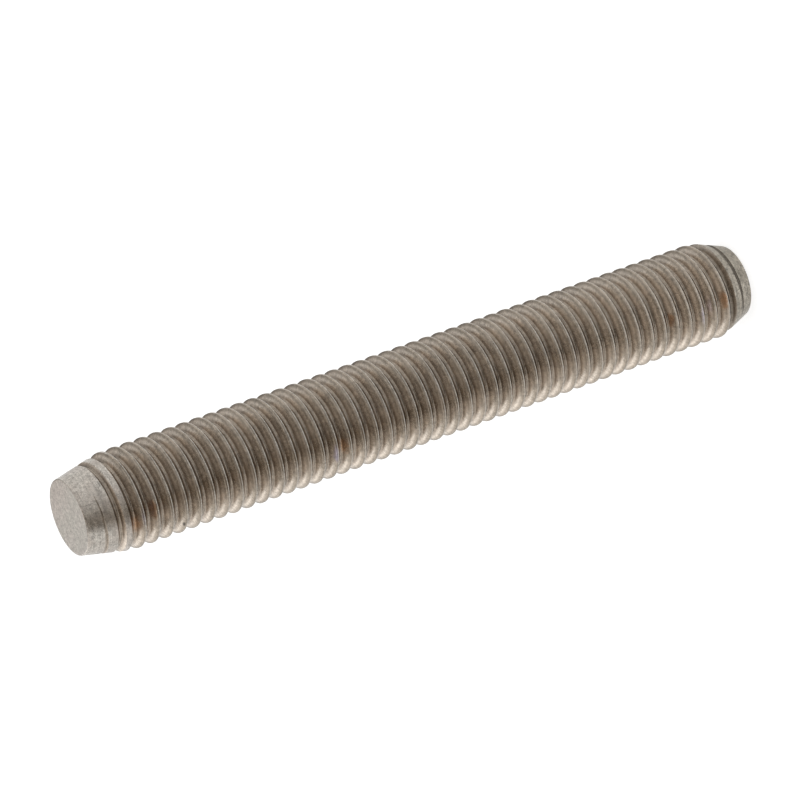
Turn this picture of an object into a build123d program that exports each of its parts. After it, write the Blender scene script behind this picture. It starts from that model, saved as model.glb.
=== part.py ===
from build123d import *
import math
import os

# Fully threaded stud, M10 x 1.5, right-hand, 75 mm long. Millimetres, +Z along the stud.
# The origin is the centre of the foot's end face, and the stud stands on that face.

# Bar
LENGTH = 75.0
MAJOR_DIAMETER = 9.8  # over the crests: M10 rolled a little under its nominal size

# Ends: each cone falls from the crests to a smaller flat face
HEAD_TAPER_LENGTH = 5.0  # long shallow point that starts the nut
HEAD_TAPER_DROP = 1.12  # how far the point falls below the crests at the face
FOOT_CHAMFER_LENGTH = 3.3
FOOT_CHAMFER_DROP = 1.25
FACE_EDGE_RADIUS = 0.2  # rounding where a cone meets its flat face

# Thread
PITCH = 1.5
THREAD_ANGLE = 60.0  # between the two flanks of the groove
CREST_WIDTH = 0.25
ROOT_WIDTH = 0.30
GROOVE_HEIGHT = 0.315  # height of the first groove's middle on the +X side


def flank_depth(flank_width):
    """Depth over which a flank crosses a width measured along the stud."""
    return flank_width / math.tan(math.radians(THREAD_ANGLE / 2))


def blank():
    """The bar before threading: a cylinder with a coned and rounded end at each face."""
    crest = MAJOR_DIAMETER / 2
    foot_corner = (crest - FOOT_CHAMFER_DROP, 0)
    head_corner = (crest - HEAD_TAPER_DROP, LENGTH)
    outline = [
        (0, 0),
        foot_corner,
        (crest, FOOT_CHAMFER_LENGTH),
        (crest, LENGTH - HEAD_TAPER_LENGTH),
        head_corner,
        (0, LENGTH),
    ]
    half_section = make_face(Plane.XZ * Polyline(*outline, close=True))
    bar = revolve(half_section, Axis.Z)
    levels = bar.edges().group_by(Axis.Z)
    return fillet(levels[0] + levels[-1], FACE_EDGE_RADIUS)


def cutter_corners():
    """Corners of the groove's section as (radius, height from the groove's middle)."""
    crest = MAJOR_DIAMETER / 2
    root = crest - flank_depth((PITCH - CREST_WIDTH - ROOT_WIDTH) / 2)
    # past the crests by a quarter of their width on each side, so that no two turns meet
    outer = crest + flank_depth(CREST_WIDTH / 4)
    root_half = ROOT_WIDTH / 2
    outer_half = (PITCH - CREST_WIDTH / 2) / 2
    return [
        (root, -root_half),
        (root, root_half),
        (outer, outer_half),
        (outer, -outer_half),
    ]


def helix(corner, turn, start):
    """One turn of the right-hand helix that a corner of the cutter follows."""
    radius, offset = corner
    return Pos(0, 0, start + turn * PITCH + offset) * Edge.make_helix(PITCH, PITCH, radius)


def groove():
    """The whole helical groove as one solid, running clear out of both ends."""
    corners = cutter_corners()
    start = GROOVE_HEIGHT - 2 * PITCH
    turns = math.ceil(LENGTH / PITCH) + 4
    faces = []
    for turn in range(turns):
        paths = [helix(corner, turn, start) for corner in corners]
        for path, following in zip(paths, paths[1:] + paths[:1]):
            faces += Face.make_surface_from_curves(path, following).faces()
    for turn, end in ((0, 0.0), (turns - 1, 1.0)):
        section = [helix(corner, turn, start) @ end for corner in corners]
        faces.append(Face(Wire.make_polygon(section, close=True)))
    return Solid(Shell(faces))


def stud():
    """The finished stud: the coned bar with its thread cut from end to end."""
    return blank() - groove()


os.makedirs("parts", exist_ok=True)
export_step(stud(), "parts/stud.step")
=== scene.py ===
"""Dresses the threaded stud: its detailed thread, its steel, the studio and the camera.

Every length is in metres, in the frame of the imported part: the foot stands on the floor at
z = 0 and the tapered head points up.
"""

from __future__ import annotations

import logging
import math
from dataclasses import dataclass, field
from enum import Enum

import bmesh
import bpy
from mathutils import Euler, Matrix, Vector

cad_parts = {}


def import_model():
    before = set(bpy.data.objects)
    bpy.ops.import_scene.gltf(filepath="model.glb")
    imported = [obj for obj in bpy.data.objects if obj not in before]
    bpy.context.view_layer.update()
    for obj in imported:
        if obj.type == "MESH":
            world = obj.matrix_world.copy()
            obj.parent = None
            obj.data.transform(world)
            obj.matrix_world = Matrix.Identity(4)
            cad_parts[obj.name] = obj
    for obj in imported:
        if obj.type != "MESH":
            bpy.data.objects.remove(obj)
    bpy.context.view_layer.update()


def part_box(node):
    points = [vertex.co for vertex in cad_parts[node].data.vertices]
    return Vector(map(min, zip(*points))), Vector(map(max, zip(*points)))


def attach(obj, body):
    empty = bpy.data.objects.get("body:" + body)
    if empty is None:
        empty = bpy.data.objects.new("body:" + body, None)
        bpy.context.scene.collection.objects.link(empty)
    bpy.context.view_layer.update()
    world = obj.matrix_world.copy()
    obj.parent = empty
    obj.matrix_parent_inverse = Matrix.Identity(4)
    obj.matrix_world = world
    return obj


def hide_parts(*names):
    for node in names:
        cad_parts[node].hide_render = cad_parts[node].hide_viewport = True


MM = 0.001
FULL_TURN = 2 * math.pi
LOG = logging.getLogger("threaded_stud")

Colour = tuple[float, float, float]
Triple = tuple[float, float, float]
Socket = bpy.types.NodeSocket


class Skin(Enum):
    """The finishes on the stud, in the order of its material slots."""

    THREAD = 0
    HEAD_CONE = 1
    FOOT_CONE = 2
    FACE = 3


# ---------------------------------------------------------------- helpers


def new_object(name: str, mesh: bmesh.types.BMesh) -> bpy.types.Object:
    """Puts a drawn mesh into the scene.

    Args:
        name: the name of the object and of its mesh.
        mesh: the drawn mesh, which is freed.

    Returns:
        The new object, at the origin.
    """
    data = bpy.data.meshes.new(name)
    mesh.to_mesh(data)
    mesh.free()
    made = bpy.data.objects.new(name, data)
    bpy.context.scene.collection.objects.link(made)
    return made


def new_group(name: str, inputs: dict[str, float], outputs: dict[str, str]) -> bpy.types.NodeTree:
    """Starts a shader node group with number inputs and named outputs.

    Args:
        name: the group's name.
        inputs: each input's name and its usual value.
        outputs: each output's name and its socket type.

    Returns:
        The new node tree, with one input node and one output node.
    """
    tree = bpy.data.node_groups.new(name, "ShaderNodeTree")
    for label, value in inputs.items():
        socket = tree.interface.new_socket(label, in_out="INPUT", socket_type="NodeSocketFloat")
        socket.default_value = value
    for label, kind in outputs.items():
        tree.interface.new_socket(label, in_out="OUTPUT", socket_type=kind)
    tree.nodes.new("NodeGroupInput").name = "in"
    tree.nodes.new("NodeGroupOutput").name = "out"
    return tree


@dataclass
class Nodes:
    """Adds nodes to one tree and links them by short calls."""

    tree: bpy.types.NodeTree

    def add(
        self, kind: str, settings: dict[str, object] | None = None, **links: object
    ) -> bpy.types.Node:
        """Adds a node.

        Args:
            kind: the node's type, without its "ShaderNode" start.
            settings: properties of the node, by name.
            links: an input's name, or "i" and its number, with a socket to link or a value to set.

        Returns:
            The new node.
        """
        node = self.tree.nodes.new("ShaderNode" + kind)
        for name, value in (settings or {}).items():
            setattr(node, name, value)
        for name, value in links.items():
            numbered = name[0] == "i" and name[1:].isdigit()
            key = int(name[1:]) if numbered else name.replace("_", " ")
            self.put(node.inputs[key], value)
        return node

    def put(self, socket: bpy.types.NodeSocket, value: object) -> None:
        """Links a socket to another, or sets its value."""
        if isinstance(value, bpy.types.NodeSocket):
            self.tree.links.new(value, socket)
        else:
            socket.default_value = value

    def math(
        self, operation: str, first: object, second: object = 0.0, third: object = 0.0
    ) -> Socket:
        """Returns the result socket of a Math node."""
        node = self.add("Math", {"operation": operation}, i0=first, i1=second, i2=third)
        return node.outputs[0]

    def off(self, value: object, middle: object) -> Socket:
        """Returns how far a value is from a middle, on either side."""
        return self.math("ABSOLUTE", self.math("SUBTRACT", value, middle))

    def grey(self, value: object) -> Socket:
        """Returns a grey colour of a given value."""
        return self.add("CombineColor", None, i0=value, i1=value, i2=value).outputs[0]

    def ramp(self, value: object, low: float, high: float) -> Socket:
        """Returns 0 below one value and 1 above another, with a smooth change between."""
        settings = {"interpolation_type": "SMOOTHSTEP"}
        node = self.add("MapRange", settings, Value=value, From_Min=low, From_Max=high)
        return node.outputs[0]

    def mix(self, share: object, first: object, second: object, blend: str = "MIX") -> Socket:
        """Returns two colours mixed by a share."""
        settings = {"data_type": "RGBA", "blend_type": blend}
        node = self.add("Mix", settings)
        self.put(node.inputs[0], share)
        for socket, value in ((node.inputs[6], first), (node.inputs[7], second)):
            self.put(socket, (*value, 1.0) if isinstance(value, tuple) else value)
        return node.outputs[2]

    def noise(
        self, place: object, scale: float, detail: float = 3.0, rough: float = 0.55
    ) -> Socket:
        """Returns the value of a noise texture, about 0.5 on average."""
        node = self.add("TexNoise", None, Vector=place, Scale=scale, Detail=detail, Roughness=rough)
        return node.outputs[0]

    def place(self, scale: Triple = (1.0, 1.0, 1.0)) -> Socket:
        """Returns object coordinates, scaled."""
        coordinates = self.add("TexCoord").outputs["Object"]
        return self.add("Mapping", None, Vector=coordinates, Scale=scale).outputs[0]


# ---------------------------------------------------------------- shared effects


@dataclass(frozen=True)
class Grain:
    """The fine grain and the soft clouds that rolling and pickling leave on the steel.

    The scales are the noise's, so a larger one is finer.
    """

    fine: float = 9000.0
    coarse: float = 2600.0
    cloud: float = 420.0
    speck_gain: float = 2.5
    cloud_gain: float = 5.0
    darkest: float = 0.2

    def group(self) -> bpy.types.NodeTree:
        """Builds the group: a shade to multiply a colour by, a mask of clouds and a height."""
        inputs = {"Contrast": 0.5, "Clouds": 0.15}
        outputs = {
            "Shade": "NodeSocketColor",
            "Cloud": "NodeSocketFloat",
            "Height": "NodeSocketFloat",
        }
        tree = new_group("steel grain", inputs, outputs)
        nodes = Nodes(tree)
        given, out = tree.nodes["in"].outputs, tree.nodes["out"]
        coordinates = nodes.add("TexCoord").outputs["Object"]
        fine = nodes.noise(coordinates, self.fine, 2.0, 0.6)
        coarse = nodes.noise(coordinates, self.coarse, 3.0, 0.6)
        cloud = nodes.noise(coordinates, self.cloud, 3.0, 0.55)
        specks = nodes.math("SUBTRACT", nodes.math("ADD", fine, coarse), 1.0)
        gain = nodes.math("MULTIPLY", given["Contrast"], self.speck_gain)
        shade = nodes.math("MULTIPLY_ADD", specks, gain, 1.0)
        drift = nodes.math("MULTIPLY", nodes.math("SUBTRACT", cloud, 0.5), self.cloud_gain)
        shade = nodes.math("MULTIPLY_ADD", drift, given["Clouds"], shade)
        shade = nodes.math("MAXIMUM", shade, self.darkest)
        nodes.put(out.inputs["Shade"], nodes.grey(shade))
        nodes.put(out.inputs["Cloud"], nodes.ramp(cloud, 0.35, 0.65))
        nodes.put(out.inputs["Height"], nodes.math("ADD", fine, coarse))
        return tree


@dataclass(frozen=True)
class Spot:
    """One patch of oxide or dirt: its angle in degrees, its height and how far it reaches."""

    angle: float
    height: float
    reach: float
    radius: float = 4.6 * MM

    def place(self) -> Vector:
        """Returns the patch's middle."""
        angle = math.radians(self.angle)
        return Vector((self.radius * math.cos(angle), self.radius * math.sin(angle), self.height))


@dataclass(frozen=True)
class Stain:
    """Patches of brown and violet oxide along a turn of the thread, and specks of dirt."""

    brown: tuple[Spot, ...] = (
        Spot(-123.5, 47.5 * MM, 1.9 * MM),
        Spot(-128.0, 70.1 * MM, 2.2 * MM),
        Spot(-115.0, 68.4 * MM, 1.9 * MM),
        Spot(-109.0, 3.8 * MM, 2.0 * MM),
        Spot(-111.0, 10.0 * MM, 1.5 * MM),
        Spot(38.0, 31.5 * MM, 2.2 * MM),
        Spot(118.0, 58.0 * MM, 2.0 * MM),
        Spot(165.0, 16.5 * MM, 2.1 * MM),
    )
    violet: tuple[Spot, ...] = (
        Spot(-117.0, 69.4 * MM, 2.0 * MM),
        Spot(-117.0, 6.4 * MM, 2.2 * MM),
        Spot(-126.0, 48.6 * MM, 1.9 * MM),
        Spot(64.0, 44.0 * MM, 2.0 * MM),
    )
    dirt: tuple[Spot, ...] = (
        Spot(-152.1, 65.1 * MM, 0.60 * MM, 4.70 * MM),
        Spot(20.0, 22.3 * MM, 0.50 * MM, 4.70 * MM),
        Spot(95.0, 49.6 * MM, 0.50 * MM, 4.70 * MM),
    )
    narrow: float = 3.2
    ragged_scale: float = 1500.0
    patch_start: float = 0.25
    patch_full: float = 0.95

    def group(self) -> bpy.types.NodeTree:
        """Builds the group, which puts out masks of brown oxide, violet oxide and dirt."""
        kinds = {"Brown": self.brown, "Violet": self.violet, "Dirt": self.dirt}
        outputs = dict.fromkeys(kinds, "NodeSocketFloat")
        tree = new_group("oxide stain", {"Amount": 1.0}, outputs)
        nodes = Nodes(tree)
        coordinates = nodes.add("TexCoord").outputs["Object"]
        ragged = nodes.noise(coordinates, self.ragged_scale, 3.0, 0.6)
        amount = tree.nodes["in"].outputs["Amount"]
        for label, spots in kinds.items():
            nearest: object = 0.0
            for spot in spots:
                nearest = nodes.math("MAXIMUM", nearest, self.mask(nodes, coordinates, spot))
            uneven = nodes.math("ADD", nearest, nodes.math("SUBTRACT", ragged, 0.5))
            patch = nodes.ramp(uneven, self.patch_start, self.patch_full)
            nodes.put(tree.nodes["out"].inputs[label], nodes.math("MULTIPLY", patch, amount))
        return tree

    def mask(self, nodes: Nodes, coordinates: Socket, spot: Spot) -> Socket:
        """Returns 1 at the middle of a spot and 0 beyond its reach."""
        away = nodes.add("VectorMath", {"operation": "SUBTRACT"}, i0=coordinates, i1=spot.place())
        squash = (1.0, 1.0, self.narrow)
        drawn_in = nodes.add("VectorMath", {"operation": "MULTIPLY"}, i0=away.outputs[0], i1=squash)
        gap = nodes.add("VectorMath", {"operation": "LENGTH"}, i0=drawn_in.outputs[0])
        return nodes.ramp(gap.outputs["Value"], spot.reach, 0.0)


@dataclass(frozen=True)
class Marks:
    """Fine lines that a tool leaves side by side on the steel."""

    name: str
    spacing: float
    across: Triple
    detail: float

    def group(self) -> bpy.types.NodeTree:
        """Builds the group, which puts out a shade and a height that change across the lines."""
        outputs = {"Shade": "NodeSocketFloat", "Height": "NodeSocketFloat"}
        tree = new_group(self.name, {"Depth": 1.0}, outputs)
        nodes = Nodes(tree)
        out, depth = tree.nodes["out"], tree.nodes["in"].outputs["Depth"]
        lines = nodes.noise(nodes.place(self.across), 0.5 / self.spacing, self.detail, 0.7)
        centred = nodes.math("MULTIPLY", nodes.math("SUBTRACT", lines, 0.5), depth)
        nodes.put(out.inputs["Shade"], nodes.math("ADD", centred, 1.0))
        nodes.put(out.inputs["Height"], nodes.math("MULTIPLY", lines, depth))
        return tree


TURNING_RINGS = Marks("turning marks", 0.09 * MM, across=(0.06, 0.06, 1.0), detail=2.0)
SAW_STREAKS = Marks("saw marks", 0.30 * MM, across=(0.08, 1.0, 0.0), detail=4.0)


@dataclass(frozen=True)
class Radius:
    """Distance from the stud's axis, which tells crests from roots, and height above its foot."""

    def group(self) -> bpy.types.NodeTree:
        """Builds the group, which puts out the distance and the height in metres."""
        outputs = {"Distance": "NodeSocketFloat", "Height": "NodeSocketFloat"}
        tree = new_group("distance and height", {}, outputs)
        nodes = Nodes(tree)
        coordinates = nodes.add("TexCoord").outputs["Object"]
        level = (1.0, 1.0, 0.0)
        flat = nodes.add("VectorMath", {"operation": "MULTIPLY"}, i0=coordinates, i1=level)
        length = nodes.add("VectorMath", {"operation": "LENGTH"}, i0=flat.outputs[0])
        parts = nodes.add("SeparateXYZ", None, Vector=coordinates).outputs
        nodes.put(tree.nodes["out"].inputs["Distance"], length.outputs["Value"])
        nodes.put(tree.nodes["out"].inputs["Height"], parts["Z"])
        return tree


@dataclass(frozen=True)
class Winding:
    """Place across the thread, which follows the helix up the stud."""

    pitch: float
    groove_height: float
    waver: float = 0.025 * MM
    waver_scale: float = 1400.0

    def group(self) -> bpy.types.NodeTree:
        """Builds the group, which puts out the height above the crest's middle line, in metres."""
        tree = new_group("place across thread", {}, {"Above Crest": "NodeSocketFloat"})
        nodes = Nodes(tree)
        coordinates = nodes.add("TexCoord").outputs["Object"]
        parts = nodes.add("SeparateXYZ", None, Vector=coordinates).outputs
        turn = nodes.math("DIVIDE", nodes.math("ARCTAN2", parts["Y"], parts["X"]), FULL_TURN)
        drift = nodes.math("SUBTRACT", nodes.noise(coordinates, self.waver_scale), 0.5)
        wander = nodes.math("MULTIPLY", drift, 2 * self.waver)
        height = nodes.math("ADD", nodes.math("SUBTRACT", parts["Z"], self.groove_height), wander)
        climb = nodes.math("DIVIDE", height, self.pitch)
        phase = nodes.math("FRACT", nodes.math("SUBTRACT", climb, turn))
        above = nodes.math("MULTIPLY", nodes.math("SUBTRACT", phase, 0.5), self.pitch)
        nodes.put(tree.nodes["out"].inputs["Above Crest"], above)
        return tree


@dataclass
class Effects:
    """The shared node groups, each built once."""

    form: ThreadForm
    grain: bpy.types.NodeTree = field(default_factory=lambda: Grain().group())
    stain: bpy.types.NodeTree = field(default_factory=lambda: Stain().group())
    rings: bpy.types.NodeTree = field(default_factory=lambda: TURNING_RINGS.group())
    streaks: bpy.types.NodeTree = field(default_factory=lambda: SAW_STREAKS.group())
    radius: bpy.types.NodeTree = field(default_factory=lambda: Radius().group())
    winding: bpy.types.NodeTree = field(init=False)

    def __post_init__(self) -> None:
        """Builds the group that needs the thread's own sizes."""
        self.winding = Winding(self.form.pitch, self.form.groove_height).group()

    def use(self, nodes: Nodes, tree: bpy.types.NodeTree, **values: float) -> bpy.types.Node:
        """Places one of the groups in a material, with its values.

        Args:
            nodes: the material's nodes.
            tree: the group to place.
            values: the group's inputs, by name.

        Returns:
            The group node.
        """
        node = nodes.add("Group", {"node_tree": tree})
        for name, value in values.items():
            node.inputs[name].default_value = value
        return node


# ---------------------------------------------------------------- finishes


def new_material(name: str) -> tuple[bpy.types.Material, Nodes, bpy.types.Node]:
    """Starts a material.

    Args:
        name: the material's name.

    Returns:
        The material, its nodes and its Principled shader.
    """
    material = bpy.data.materials.new(name)
    material.use_nodes = True
    nodes = Nodes(material.node_tree)
    shader = material.node_tree.nodes["Principled BSDF"]
    return material, nodes, shader


def fine_bump(nodes: Nodes, height: Socket) -> Socket:
    """Returns the normal of a fine surface relief."""
    bump = nodes.add("Bump", None, Strength=0.25, Distance=0.004 * MM, Height=height)
    return bump.outputs[0]


@dataclass(frozen=True)
class ThreadSteel:
    """Rolled stainless steel in the thread: satin flanks, a painted highlight on the crest lips,
    and painted shade on the crests, in the roots and on the undersides, darkest in the roots near
    the foot.
    """

    flank: Colour = (0.65, 0.57, 0.485)
    # Painted shade: the crest is darker than the flanks, most of all on its foot side.
    crest: Colour = (0.40, 0.345, 0.285)
    # Painted shade along the crest's head-side edge.
    shoulder_shade: Colour = (0.375, 0.32, 0.26)
    # Near white: a painted highlight on the crest edge that faces the foot, standing in for the
    # glint there.
    lip_highlight: Colour = (1.0, 0.96, 0.88)
    # Painted shade down the head-side flank into the root.
    deep_shade: Colour = (0.35, 0.29, 0.235)
    # Painted shade: a darker line along the root.
    root_shade_line: Colour = (0.27, 0.23, 0.185)
    # Painted shade on the undersides: the foot-side flank under each crest and the far half of the
    # root.
    underside_shade: Colour = (0.47, 0.41, 0.35)
    # Painted shade, near black, in the roots close to the foot.
    foot_shade: Colour = (0.09, 0.08, 0.065)
    dirt: Colour = (0.05, 0.042, 0.035)
    brown: Colour = (0.38, 0.225, 0.13)
    violet: Colour = (0.44, 0.40, 0.52)
    roughness: float = 0.25
    cloud_roughness: float = 0.05
    lip_roughness: float = 0.45
    lip_metal: float = 0.25
    lip_width: float = 0.065 * MM
    lip_drop: float = 0.03 * MM
    lip_depth: tuple[float, float] = (0.12 * MM, 0.07 * MM)
    # The scale and range of the noise that halves the painted highlight in patches.
    highlight_patch_scale: float = 900.0
    highlight_patches: tuple[float, float] = (0.30, 0.52)
    shoulder_reach: tuple[float, float] = (0.22 * MM, 0.06 * MM)
    deep_height: tuple[float, float] = (0.34 * MM, 0.54 * MM)
    line_height: float = 0.66 * MM
    line_reach: tuple[float, float] = (0.075 * MM, 0.03 * MM)
    below_crest: tuple[float, float] = (-0.14 * MM, -0.19 * MM)
    above_root: tuple[float, float] = (0.70 * MM, 0.74 * MM)
    # How the painted shade near the foot fades with height and with depth, and how strong it is.
    foot_shade_height: tuple[float, float] = (4.2 * MM, 1.5 * MM)
    foot_shade_depth: tuple[float, float] = (0.1 * MM, 0.5 * MM)
    foot_shade_share: float = 0.8
    violet_share: float = 0.6

    def material(self, effects: Effects, form: ThreadForm) -> bpy.types.Material:
        """Builds the material.

        Args:
            effects: the shared node groups.
            form: the thread, for the radius and the width of its crests.

        Returns:
            The finished material.
        """
        material, nodes, shader = new_material("rolled_thread_steel")
        grain = effects.use(nodes, effects.grain, Contrast=0.45, Clouds=0.10).outputs
        stain = effects.use(nodes, effects.stain, Amount=0.85).outputs
        place = effects.use(nodes, effects.radius).outputs
        above = effects.use(nodes, effects.winding).outputs["Above Crest"]
        # Mask of the painted highlight on the crest edge.
        lip_highlight = self.lip_highlight_mask(nodes, form, place["Distance"], above)
        half_crest = form.crest_width / 2
        # Mask of the painted shade on the undersides.
        underside_shade = nodes.math(
            "MAXIMUM", nodes.ramp(above, *self.below_crest), nodes.ramp(above, *self.above_root)
        )
        # Mask of the painted shade in the roots close to the foot.
        foot_shade = nodes.math(
            "MULTIPLY",
            nodes.ramp(place["Height"], *self.foot_shade_height),
            nodes.ramp(place["Distance"], *(form.crest_radius - part for part in self.foot_shade_depth)),
        )
        coats = (
            # Painted shade over the crest, full on its foot side.
            (nodes.ramp(above, half_crest, -half_crest), self.crest),
            # Painted shade along the crest's head-side edge.
            (nodes.ramp(nodes.off(above, half_crest), *self.shoulder_reach), self.shoulder_shade),
            # Painted shade down the head-side flank into the root.
            (nodes.ramp(above, *self.deep_height), self.deep_shade),
            # Painted shade: a darker line along the root.
            (nodes.ramp(nodes.off(above, self.line_height), *self.line_reach), self.root_shade_line),
            # Painted shade on the undersides.
            (underside_shade, self.underside_shade),
            # Painted shade in the roots close to the foot.
            (nodes.math("MULTIPLY", foot_shade, self.foot_shade_share), self.foot_shade),
            (stain["Brown"], self.brown),
            (nodes.math("MULTIPLY", stain["Violet"], self.violet_share), self.violet),
            # The painted highlight on the crest edge.
            (lip_highlight, self.lip_highlight),
            (stain["Dirt"], self.dirt),
        )
        colour: object = self.flank
        for mask, coat in coats:
            colour = nodes.mix(mask, colour, coat)
        colour = nodes.mix(1.0, colour, grain["Shade"], "MULTIPLY")
        nodes.put(shader.inputs["Base Color"], colour)
        rough = nodes.math("MULTIPLY_ADD", grain["Cloud"], self.cloud_roughness, self.roughness)
        rough = nodes.math("MULTIPLY_ADD", lip_highlight, self.lip_roughness, rough)
        nodes.put(shader.inputs["Roughness"], rough)
        metal = nodes.math("MULTIPLY_ADD", lip_highlight, self.lip_metal - 1.0, 1.0)
        nodes.put(shader.inputs["Metallic"], metal)
        nodes.put(shader.inputs["Normal"], fine_bump(nodes, grain["Height"]))
        return material

    def lip_highlight_mask(self, nodes: Nodes, form: ThreadForm, distance: Socket, above: Socket) -> Socket:
        """Returns 1 on the edge of the crest that faces the foot, where a highlight is painted.

        Args:
            nodes: the material's nodes.
            form: the thread.
            distance: the distance from the axis.
            above: the height above the crest's middle line.

        Returns:
            The mask, which a noise halves in patches.
        """
        outer = nodes.ramp(distance, *(form.crest_radius - part for part in self.lip_depth))
        off_lip = nodes.off(above, -form.crest_width / 2 - self.lip_drop)
        edge = nodes.ramp(off_lip, 1.5 * self.lip_width, 0.5 * self.lip_width)
        patchy_highlight = nodes.ramp(nodes.noise(nodes.place(), self.highlight_patch_scale, 3.0), *self.highlight_patches)
        patchy_highlight = nodes.math("MULTIPLY_ADD", patchy_highlight, 0.5, 0.5)
        return nodes.math("MULTIPLY", nodes.math("MULTIPLY", edge, outer), patchy_highlight)


@dataclass(frozen=True)
class CutSteel:
    """Bare steel off the lathe or the saw, on the cones and on the end faces."""

    name: str
    colour: Colour
    cloud: Colour
    roughness: float
    rings: float
    streaks: float
    contrast: float
    cloud_roughness: float = 0.08

    def material(self, effects: Effects) -> bpy.types.Material:
        """Builds the material.

        Args:
            effects: the shared node groups.

        Returns:
            The finished material.
        """
        material, nodes, shader = new_material(self.name)
        grain = effects.use(nodes, effects.grain, Contrast=self.contrast, Clouds=0.08).outputs
        rings = effects.use(nodes, effects.rings, Depth=self.rings).outputs
        streaks = effects.use(nodes, effects.streaks, Depth=self.streaks).outputs
        colour = nodes.mix(grain["Cloud"], self.colour, self.cloud)
        colour = nodes.mix(1.0, colour, grain["Shade"], "MULTIPLY")
        marks = nodes.math("MULTIPLY", rings["Shade"], streaks["Shade"])
        colour = nodes.mix(1.0, colour, nodes.grey(marks), "MULTIPLY")
        nodes.put(shader.inputs["Base Color"], colour)
        rough = nodes.math("MULTIPLY_ADD", grain["Cloud"], self.cloud_roughness, self.roughness)
        nodes.put(shader.inputs["Roughness"], rough)
        shader.inputs["Metallic"].default_value = 1.0
        height = nodes.math("ADD", grain["Height"], nodes.math("MULTIPLY", rings["Height"], 2.0))
        nodes.put(shader.inputs["Normal"], fine_bump(nodes, height))
        return material


HEAD_STEEL = CutSteel(
    name="turned_head_steel",
    colour=(0.57, 0.53, 0.475),
    cloud=(0.49, 0.44, 0.39),
    roughness=0.24,
    rings=0.9,
    streaks=0.0,
    contrast=0.50,
)
FOOT_STEEL = CutSteel(
    name="turned_foot_steel",
    colour=(0.49, 0.45, 0.385),
    cloud=(0.37, 0.335, 0.28),
    roughness=0.27,
    rings=0.9,
    streaks=0.0,
    contrast=0.75,
)
FACE_STEEL = CutSteel(
    name="cut_face_steel",
    colour=(0.67, 0.63, 0.60),
    cloud=(0.60, 0.585, 0.55),
    roughness=0.32,
    rings=0.0,
    streaks=0.45,
    contrast=0.50,
)


# ---------------------------------------------------------------- the stud


@dataclass
class ThreadForm:
    """The form of the thread, as a section along the stud."""

    crest_radius: float
    pitch: float = 1.5 * MM
    flank_angle: float = math.radians(30)
    crest_width: float = 0.25 * MM
    root_width: float = 0.30 * MM
    groove_height: float = 0.315 * MM
    root_rounding: float = 0.14 * MM
    lip_rounding: float = 0.05 * MM
    root_fill: float = 0.045 * MM
    segments: int = 64
    flank_cuts: int = 3
    rounding_steps: int = 3

    @property
    def depth(self) -> float:
        """Depth from crest to root."""
        flank_width = (self.pitch - self.crest_width - self.root_width) / 2
        return flank_width / math.tan(self.flank_angle)

    @property
    def root_radius(self) -> float:
        """Radius of the root."""
        return self.crest_radius - self.depth

    def corners(self) -> list[tuple[float, float]]:
        """Returns the section from one root's middle to the next, as radius and height."""
        crest_start = (self.pitch - self.crest_width) / 2
        half = [
            (self.root_radius + self.root_fill, 0.0),
            (self.root_radius + self.root_fill, self.root_width / 2),
            (self.crest_radius, crest_start),
        ]
        return [*half, *((radius, self.pitch - height) for radius, height in reversed(half))]

    def section(self, mesh: bmesh.types.BMesh) -> None:
        """Draws the section as a chain of edges, with its roots and crest lips rounded."""
        chain = [mesh.verts.new((radius, 0.0, height)) for radius, height in self.corners()]
        for first, second in zip(chain, chain[1:]):
            mesh.edges.new((first, second))
        flanks = [mesh.edges.get((chain[1], chain[2])), mesh.edges.get((chain[3], chain[4]))]
        bmesh.ops.subdivide_edges(mesh, edges=flanks, cuts=self.flank_cuts)
        rise = (self.pitch - self.crest_width) / 2
        roundings = (
            (self.root_radius + self.root_fill, self.root_width / 2, self.root_rounding),
            (self.crest_radius, rise, self.lip_rounding),
        )
        for radius, height, rounding in roundings:
            spots = [Vector((radius, 0.0, height)), Vector((radius, 0.0, self.pitch - height))]
            for spot in spots:
                corner = min(mesh.verts, key=lambda vertex: (vertex.co - spot).length)
                bmesh.ops.bevel(
                    mesh,
                    geom=[corner],
                    affect="VERTICES",
                    offset=rounding,
                    offset_type="OFFSET",
                    segments=self.rounding_steps,
                    profile=0.5,
                    material=-1,
                )


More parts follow.
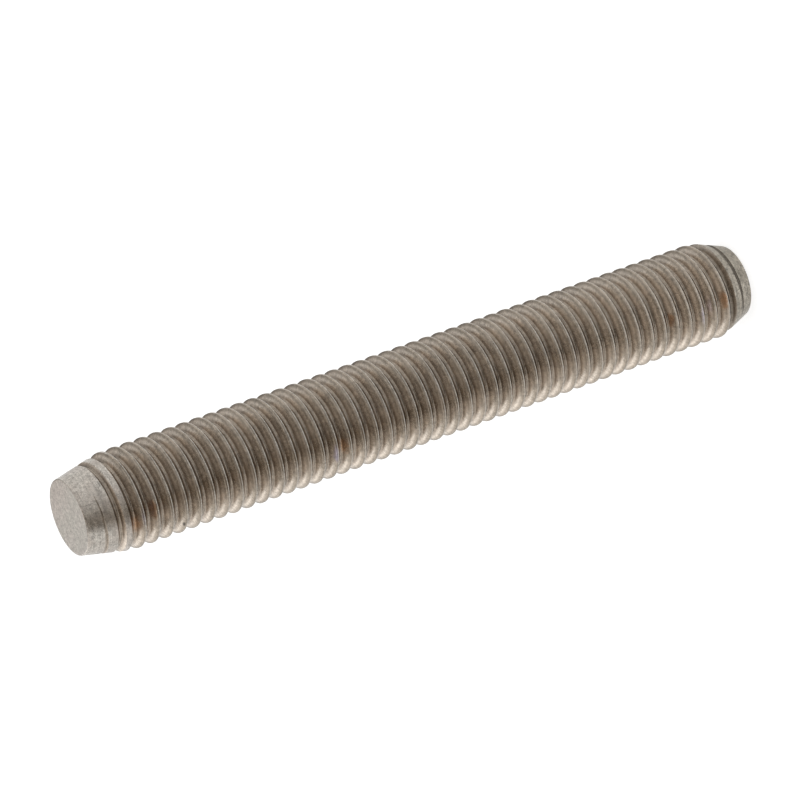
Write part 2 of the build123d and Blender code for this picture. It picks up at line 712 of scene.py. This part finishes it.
@dataclass
class Stud:
    """The stud in detail: a thread wound round the bar and cut to its two coned ends."""

    length: float
    form: ThreadForm
    head_taper_length: float = 5.0 * MM
    head_taper_drop: float = 1.12 * MM
    foot_chamfer_length: float = 3.3 * MM
    foot_chamfer_drop: float = 1.25 * MM
    face_edge_radius: float = 0.2 * MM
    face_edge_steps: int = 4
    face_tilt: float = 0.97
    spare_turns: int = 2
    clearance: float = 0.15 * MM
    seam_merge: float = 0.002 * MM
    axis_merge: float = 0.0001 * MM
    sharp_angle: float = math.radians(25)
    finishes: list[bpy.types.Material] = field(init=False)

    def wound_thread(self) -> bpy.types.Object:
        """Winds the section into a closed thread that is longer than the stud.

        Returns:
            The object, with the thread's finish on every face, the first of its slots.
        """
        form = self.form
        turns = math.ceil(self.length / form.pitch) + 2 * self.spare_turns
        start = form.groove_height - self.spare_turns * form.pitch
        mesh = bmesh.new()
        form.section(mesh)
        bmesh.ops.spin(
            mesh,
            geom=mesh.verts[:] + mesh.edges[:],
            cent=(0.0, 0.0, 0.0),
            axis=(0.0, 0.0, 1.0),
            dvec=(0.0, 0.0, form.pitch / form.segments),
            angle=FULL_TURN,
            space=Matrix.Identity(4),
            steps=form.segments,
        )
        first_turn = mesh.verts[:] + mesh.edges[:] + mesh.faces[:]
        for turn in range(1, turns):
            copy = bmesh.ops.duplicate(mesh, geom=first_turn)["geom"]
            verts = [item for item in copy if isinstance(item, bmesh.types.BMVert)]
            bmesh.ops.translate(mesh, verts=verts, vec=(0.0, 0.0, turn * form.pitch))
        bmesh.ops.remove_doubles(mesh, verts=mesh.verts, dist=self.seam_merge)
        self.close_ends(mesh, turns * form.pitch)
        bmesh.ops.translate(mesh, verts=mesh.verts, vec=(0.0, 0.0, start))
        bmesh.ops.recalc_face_normals(mesh, faces=mesh.faces)
        return self.as_object("wound_thread", mesh)

    def close_ends(self, mesh: bmesh.types.BMesh, wound_length: float) -> None:
        """Draws each open end of the wound thread in to a point on the axis.

        Args:
            mesh: the wound thread.
            wound_length: the height that its turns climb together.
        """
        rim = [edge for edge in mesh.edges if edge.is_boundary]
        grown = bmesh.ops.extrude_edge_only(mesh, edges=rim)["geom"]
        tips = [item for item in grown if isinstance(item, bmesh.types.BMVert)]
        middle = wound_length / 2
        pitch = self.form.pitch
        low_tip = Vector((0.0, 0.0, -pitch))
        high_tip = Vector((0.0, 0.0, wound_length + 2 * pitch))
        for vertex in tips:
            vertex.co = low_tip if vertex.co.z < middle else high_tip
        bmesh.ops.remove_doubles(mesh, verts=tips, dist=self.form.crest_width / 5)
        bmesh.ops.dissolve_degenerate(mesh, edges=mesh.edges, dist=1e-9)

    def bar(self) -> bpy.types.Object:
        """Turns the bar that the thread is cut to: two faces, two cones and a wide middle.

        Returns:
            The object, with its cones and faces marked by finish.
        """
        crest = self.form.crest_radius
        clear = self.clearance
        foot_slope = self.foot_chamfer_length / self.foot_chamfer_drop
        head_slope = self.head_taper_length / self.head_taper_drop
        outline = [
            (0.0, 0.0),
            (crest - self.foot_chamfer_drop, 0.0),
            (crest + clear, self.foot_chamfer_length + clear * foot_slope),
            (crest + clear, self.length - self.head_taper_length - clear * head_slope),
            (crest - self.head_taper_drop, self.length),
            (0.0, self.length),
        ]
        mesh = bmesh.new()
        chain = [mesh.verts.new((radius, 0.0, height)) for radius, height in outline]
        for first, second in zip(chain, chain[1:]):
            mesh.edges.new((first, second))
        bmesh.ops.bevel(
            mesh,
            geom=[chain[1], chain[4]],
            affect="VERTICES",
            offset=self.face_edge_radius / 2,
            offset_type="OFFSET",
            segments=self.face_edge_steps,
            profile=0.5,
            material=-1,
        )
        bmesh.ops.spin(
            mesh,
            geom=mesh.verts[:] + mesh.edges[:],
            cent=(0.0, 0.0, 0.0),
            axis=(0.0, 0.0, 1.0),
            angle=FULL_TURN,
            space=Matrix.Identity(4),
            steps=4 * self.form.segments,
            use_merge=True,
        )
        bmesh.ops.remove_doubles(mesh, verts=mesh.verts, dist=self.axis_merge)
        bmesh.ops.recalc_face_normals(mesh, faces=mesh.faces)
        for face in mesh.faces:
            cone = Skin.HEAD_CONE if face.normal.z > 0 else Skin.FOOT_CONE
            skin = Skin.FACE if abs(face.normal.z) > self.face_tilt else cone
            face.material_index = skin.value
        return self.as_object("bar", mesh)

    def as_object(self, name: str, mesh: bmesh.types.BMesh) -> bpy.types.Object:
        """Returns a new object that holds the mesh, with one slot for each finish."""
        made = new_object(name, mesh)
        for finish in self.finishes:
            made.data.materials.append(finish)
        return made

    def cut_to_length(self) -> bpy.types.Object:
        """Cuts the wound thread to the bar's ends.

        Returns:
            The finished stud, as one closed mesh.
        """
        thread, bar = self.wound_thread(), self.bar()
        cut = thread.modifiers.new("ends", "BOOLEAN")
        cut.operation, cut.solver, cut.object = "INTERSECT", "MANIFOLD", bar
        evaluated = thread.evaluated_get(bpy.context.evaluated_depsgraph_get())
        data = bpy.data.meshes.new_from_object(evaluated)
        stud = bpy.data.objects.new("threaded_stud", data)
        bpy.context.scene.collection.objects.link(stud)
        for tool in (thread, bar):
            bpy.data.objects.remove(tool)
        self.soften(data)
        even = stud.modifiers.new("even_shading", "WEIGHTED_NORMAL")
        even.keep_sharp = True
        return stud

    def soften(self, data: bpy.types.Mesh) -> None:
        """Shades the mesh smooth, with its sharp edges kept sharp."""
        mesh = bmesh.new()
        mesh.from_mesh(data)
        bmesh.ops.triangulate(mesh, faces=[face for face in mesh.faces if len(face.verts) > 4])
        for face in mesh.faces:
            face.smooth = face.material_index == Skin.THREAD.value
        for edge in mesh.edges:
            edge.smooth = edge.calc_face_angle(0.0) < self.sharp_angle
        mesh.to_mesh(data)
        mesh.free()

    def build(self, effects: Effects) -> bpy.types.Object:
        """Builds the stud's finishes, and then the stud.

        Args:
            effects: the shared node groups.

        Returns:
            The dressed stud, which stands for the CAD node.
        """
        made = {
            Skin.THREAD: ThreadSteel().material(effects, self.form),
            Skin.HEAD_CONE: HEAD_STEEL.material(effects),
            Skin.FOOT_CONE: FOOT_STEEL.material(effects),
            Skin.FACE: FACE_STEEL.material(effects),
        }
        self.finishes = [made[skin] for skin in Skin]
        stud = self.cut_to_length()
        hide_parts("stud")
        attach(stud, "root")
        return stud


# ---------------------------------------------------------------- the studio


@dataclass(frozen=True)
class Card:
    """A card that only the steel sees: it is mirrored, but casts no light or shadow.

    Its shade is tinted and holds round its middle, out to its level. From there to its reach it
    changes to a plain grey. These are lengths across the card, or angles if it is a fan.
    """

    name: str
    place: Triple
    size: tuple[float, float]
    shade: float
    edge_shade: float
    tilt: float = 0.0
    middle: float = 0.0
    reach: float = 0.4
    level: float = 0.0
    tint: Colour = (1.0, 0.88, 0.76)
    fan: bool = False

    def build(self) -> bpy.types.Object:
        """Stands the card up and returns it."""
        mesh = bmesh.new()
        bmesh.ops.create_grid(mesh, x_segments=1, y_segments=1, size=0.5)
        bmesh.ops.scale(mesh, verts=mesh.verts, vec=(*self.size, 1.0))
        turn = Euler((math.radians(self.tilt), 0.0, 0.0)).to_matrix()
        bmesh.ops.rotate(mesh, verts=mesh.verts, matrix=turn)
        bmesh.ops.translate(mesh, verts=mesh.verts, vec=self.place)
        card = new_object(self.name, mesh)
        card.data.materials.append(self.material())
        card.visible_camera = card.visible_diffuse = card.visible_shadow = False
        card.visible_transmission = card.visible_volume_scatter = False
        return card

    def material(self) -> bpy.types.Material:
        """Builds the card's glow, which changes to its sides, or round the stud if it is a fan."""
        material, nodes, shader = new_material(self.name)
        parts = nodes.add("SeparateXYZ", None, Vector=nodes.place()).outputs
        across: Socket = parts["X"]
        if self.fan:
            across = nodes.math("ARCTAN2", parts["X"], nodes.math("MULTIPLY", parts["Y"], -1.0))
        share = nodes.ramp(nodes.off(across, self.middle), self.level, self.reach)
        middle = tuple(self.shade * part for part in self.tint)
        edge = (self.edge_shade, self.edge_shade, self.edge_shade)
        shader.inputs["Base Color"].default_value = (0.0, 0.0, 0.0, 1.0)
        shader.inputs["Specular IOR Level"].default_value = 0.0
        nodes.put(shader.inputs["Emission Color"], nodes.mix(share, middle, edge))
        shader.inputs["Emission Strength"].default_value = 1.0
        return material


CARDS = (
    Card(
        name="low_card",
        place=(-0.05, -0.25, 0.003),
        size=(0.9, 0.44),
        shade=0.25,
        edge_shade=0.47,
        middle=math.radians(-46),
        reach=math.radians(34),
        level=math.radians(5),
        tint=(1.0, 0.86, 0.70),
        fan=True,
    ),
    Card(
        name="front_card",
        place=(-0.30, -0.47, 0.105),
        tilt=90,
        size=(2.4, 0.20),
        shade=0.24,
        edge_shade=0.74,
        middle=-0.36,
        reach=0.75,
    ),
    Card(
        name="high_card",
        place=(-0.05, -0.464, 0.334),
        tilt=57.5,
        size=(0.9, 0.285),
        shade=0.13,
        edge_shade=0.80,
        middle=-0.16,
        reach=0.40,
    ),
    Card(
        name="top_card",
        place=(0.145, 0.0, 0.633),
        size=(1.31, 0.70),
        shade=0.42,
        edge_shade=0.62,
        middle=-0.175,
        reach=0.45,
        level=0.20,
    ),
    Card(
        name="side_card",
        place=(-0.58, 0.5, 0.44),
        tilt=90,
        size=(0.76, 0.68),
        shade=1.26,
        edge_shade=1.26,
        tint=(1.0, 0.975, 0.93),
    ),
    Card(
        name="back_card",
        place=(0.50, 0.5, 0.50),
        tilt=90,
        size=(1.0, 0.60),
        shade=0.58,
        edge_shade=0.58,
    ),
    Card(
        name="skirting_card",
        place=(0.40, 0.5, 0.10),
        tilt=90,
        size=(1.0, 0.20),
        shade=0.28,
        edge_shade=0.28,
    ),
)


@dataclass
class Studio:
    """A plain pale floor, one soft lamp and the cards that the steel mirrors."""

    floor_size: float = 6.0
    floor_colour: Colour = (0.62, 0.62, 0.62)
    floor_seen: float = 0.74
    floor_mirrored: float = 0.45
    room: float = 0.5
    lamp_place: Vector = field(default_factory=lambda: Vector((0.10, 0.05, 0.70)))
    lamp_size: float = 0.6
    lamp_radiance: float = 1.2
    cards: tuple[Card, ...] = CARDS

    def floor(self) -> bpy.types.Object:
        """Lays the floor.

        Returns:
            The floor.
        """
        mesh = bmesh.new()
        bmesh.ops.create_grid(mesh, x_segments=1, y_segments=1, size=self.floor_size / 2)
        floor = new_object("floor", mesh)
        floor.data.materials.append(self.paper())
        return floor

    def paper(self) -> bpy.types.Material:
        """Builds the floor's white paper, which stays white to the eye and in the steel."""
        material, nodes, shader = new_material("white_paper")
        weave = nodes.noise(nodes.place(), 900.0, 2.0)
        shade = nodes.add("MapRange", None, Value=weave, To_Min=0.985, To_Max=1.0)
        paper = nodes.mix(1.0, self.floor_colour, nodes.grey(shade.outputs[0]), "MULTIPLY")
        nodes.put(shader.inputs["Base Color"], paper)
        shader.inputs["Roughness"].default_value = 0.9
        shader.inputs["Specular IOR Level"].default_value = 0.1
        seen, mirrored = self.rays(nodes)
        mirrored = nodes.math("MULTIPLY", mirrored, self.floor_mirrored)
        glow = nodes.math("MULTIPLY_ADD", seen, self.floor_seen, mirrored)
        shader.inputs["Emission Color"].default_value = (1.0, 1.0, 1.0, 1.0)
        nodes.put(shader.inputs["Emission Strength"], glow)
        return material

    def rays(self, nodes: Nodes) -> tuple[Socket, Socket]:
        """Returns a mask of what the eye sees, and one of what a mirror or a glass shows."""
        rays = nodes.add("LightPath").outputs
        mirrored = nodes.math("MAXIMUM", rays["Is Glossy Ray"], rays["Is Transmission Ray"])
        return rays["Is Camera Ray"], mirrored

    def world(self) -> None:
        """Fills the room with even light, and shows it white behind the floor."""
        world = bpy.data.worlds.new("room")
        bpy.context.scene.world = world
        world.use_nodes = True
        nodes = Nodes(world.node_tree)
        background = world.node_tree.nodes["Background"]
        shown = nodes.math("MAXIMUM", *self.rays(nodes))
        strength = nodes.add("MapRange", None, Value=shown, To_Min=self.room, To_Max=1.0)
        background.inputs["Color"].default_value = (1.0, 1.0, 1.0, 1.0)
        nodes.put(background.inputs["Strength"], strength.outputs[0])

    def soft_box(self, middle: Vector) -> None:
        """Hangs a square soft box over the stud, which no mirror shows.

        Args:
            middle: the middle of the stud, which the lamp points at.
        """
        lamp = bpy.data.lights.new("top_box", "AREA")
        lamp.shape, lamp.size, lamp.size_y = "RECTANGLE", self.lamp_size, self.lamp_size
        lamp.energy = self.lamp_radiance * math.pi * self.lamp_size * self.lamp_size
        holder = bpy.data.objects.new("top_box", lamp)
        bpy.context.scene.collection.objects.link(holder)
        place = middle + self.lamp_place
        holder.location = place
        holder.rotation_euler = (middle - place).to_track_quat("-Z", "Y").to_euler()
        holder.visible_camera = holder.visible_glossy = False

    def build(self, middle: Vector) -> None:
        """Sets up the floor, the room's light, the cards and the lamp.

        Args:
            middle: the middle of the stud.
        """
        self.floor()
        self.world()
        for card in self.cards:
            card.build()
        self.soft_box(middle)


@dataclass
class ViewCamera:
    """A long lens, rolled so that the standing stud lies across the view with its head near."""

    lens_mm: float = 240.1
    sensor_mm: float = 36.0
    distance: float = 515.35 * MM
    elevation: float = math.radians(24.97)
    roll: float = math.radians(-109.666)
    aim_share: float = 0.5152
    side_shift: float = -0.065 * MM

    def build(self, length: float) -> bpy.types.Object:
        """Sets the camera in front of the stud.

        Args:
            length: the stud's length.

        Returns:
            The camera, made the scene's own.
        """
        lens = bpy.data.cameras.new("view_camera")
        lens.lens, lens.sensor_width = self.lens_mm, self.sensor_mm
        lens.clip_start, lens.clip_end = 0.01, 20.0
        camera = bpy.data.objects.new("view_camera", lens)
        bpy.context.scene.collection.objects.link(camera)
        aim = Vector((self.side_shift, 0.0, self.aim_share * length))
        back = Vector((0.0, -math.cos(self.elevation), math.sin(self.elevation)))
        level = (-back).to_track_quat("-Z", "Y")
        camera.rotation_mode = "QUATERNION"
        camera.location = aim + back * self.distance
        camera.rotation_quaternion = level @ Matrix.Rotation(self.roll, 3, "Z").to_quaternion()
        bpy.context.scene.camera = camera
        return camera


def main() -> None:
    """Builds the dressed stud, the studio and the camera."""
    logging.basicConfig(level=logging.INFO, format="%(name)s: %(message)s")
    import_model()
    low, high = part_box("stud")
    length = high[2] - low[2]
    form = ThreadForm(crest_radius=high[0])
    stud = Stud(length=length, form=form).build(Effects(form))
    LOG.info("%s: %d faces, %.1f mm long", stud.name, len(stud.data.polygons), length / MM)
    studio = Studio()
    studio.build(Vector((0.0, 0.0, length / 2)))
    LOG.info("studio: a floor, a lamp and %d cards", len(studio.cards))
    camera = ViewCamera().build(length)
    LOG.info("%s: %.1f mm lens", camera.name, camera.data.lens)
    bpy.context.scene.view_settings.view_transform = "Standard"


if __name__ == "__main__":
    main()
